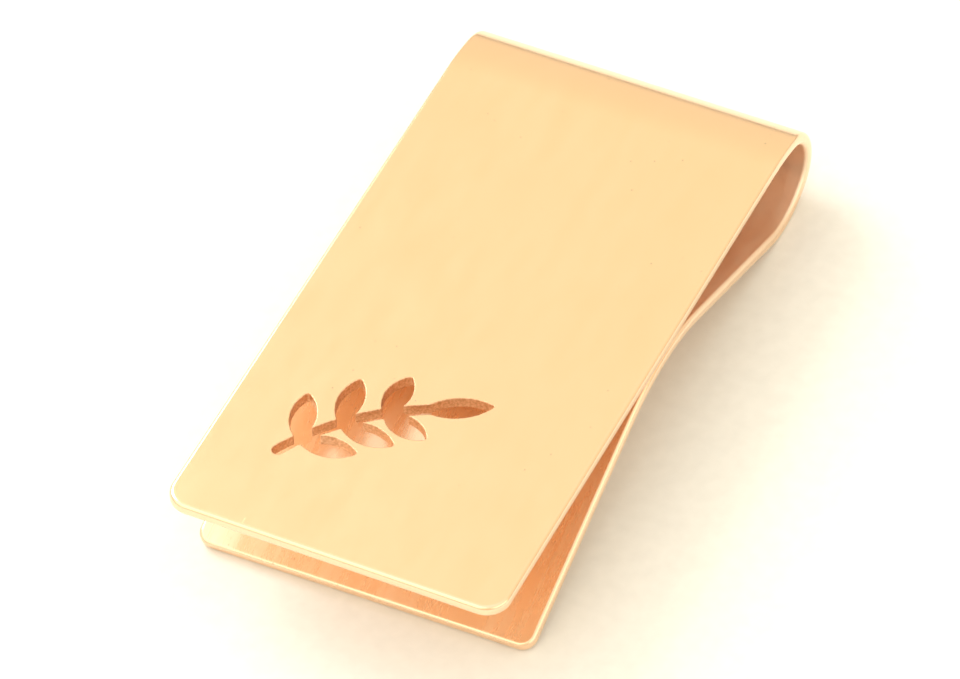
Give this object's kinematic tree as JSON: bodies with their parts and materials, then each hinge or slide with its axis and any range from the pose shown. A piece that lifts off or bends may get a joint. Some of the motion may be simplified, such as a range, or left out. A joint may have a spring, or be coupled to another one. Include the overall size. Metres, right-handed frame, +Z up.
{
  "type": "money clip",
  "caption": "Spring money clip bent from one strip of sheet brass: flat front leaf with a pierced leaf sprig, teardrop loop, and a rear leaf that rises to a pinch ridge and flares at its tip.",
  "frame": {"origin": "centre of the clip's outline on the table that it lies on", "axes": "+X across the strip, +Y from the leaf tips to the loop, +Z up, out of the front leaf"},
  "size_m": [0.0254, 0.0508, 0.0091],
  "materials": {
    "brass": "satin, finely brushed"
  },
  "bodies": {
    "rear": {"rear_lip": "brass", "pinch_ridge": "brass", "rear_ramp": "brass", "heel": "brass", "low_bend": "brass"},
    "front": {"high_bend": "brass", "crown": "brass", "front_leaf": "brass"}
  },
  "joints": [
    {"name": "loop_flex", "type": "hinge", "parent": "rear", "child": "front", "pos_m": [0, 0.0254, 0.00361], "axis": [-1, 0, 0], "range_deg": [0, 9], "stiffness_Nm_per_rad": 9}
  ]
}
